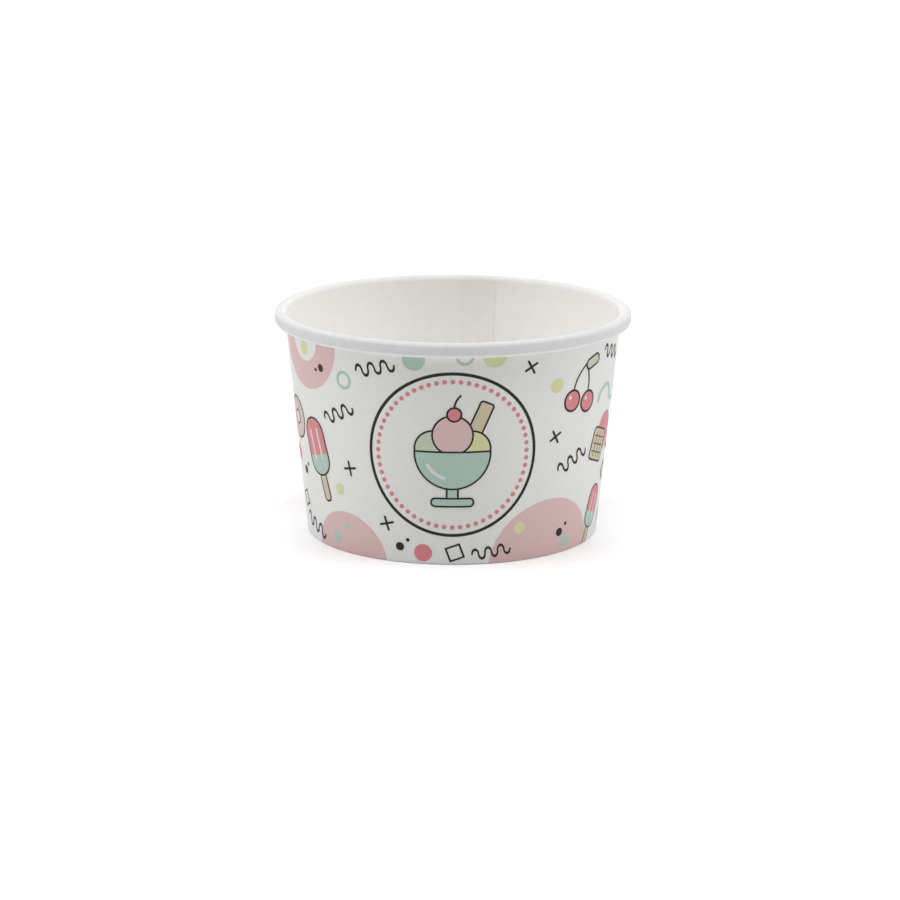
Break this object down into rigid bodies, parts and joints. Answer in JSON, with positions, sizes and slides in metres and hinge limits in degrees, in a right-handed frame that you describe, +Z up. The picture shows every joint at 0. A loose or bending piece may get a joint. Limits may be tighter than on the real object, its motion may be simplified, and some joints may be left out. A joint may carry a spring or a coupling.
{
  "type": "paper dessert cup",
  "caption": "Tapered paper cup for ice cream and desserts: rolled rim, lapped side seam, folded hem and a base disc set above the table.",
  "frame": {"origin": "middle of the ring that the cup stands on, at the height of the table", "axes": "+Z up along the cup's axis, -Y towards the printed front, the side seam at the back near +Y"},
  "size_m": [0.095, 0.095, 0.0603],
  "materials": {
    "wall_board": "satin coated",
    "base_board": "satin coated"
  },
  "bodies": {
    "root": {"sidewall": "wall_board", "base_disc": "base_board"}
  },
  "joints": []
}
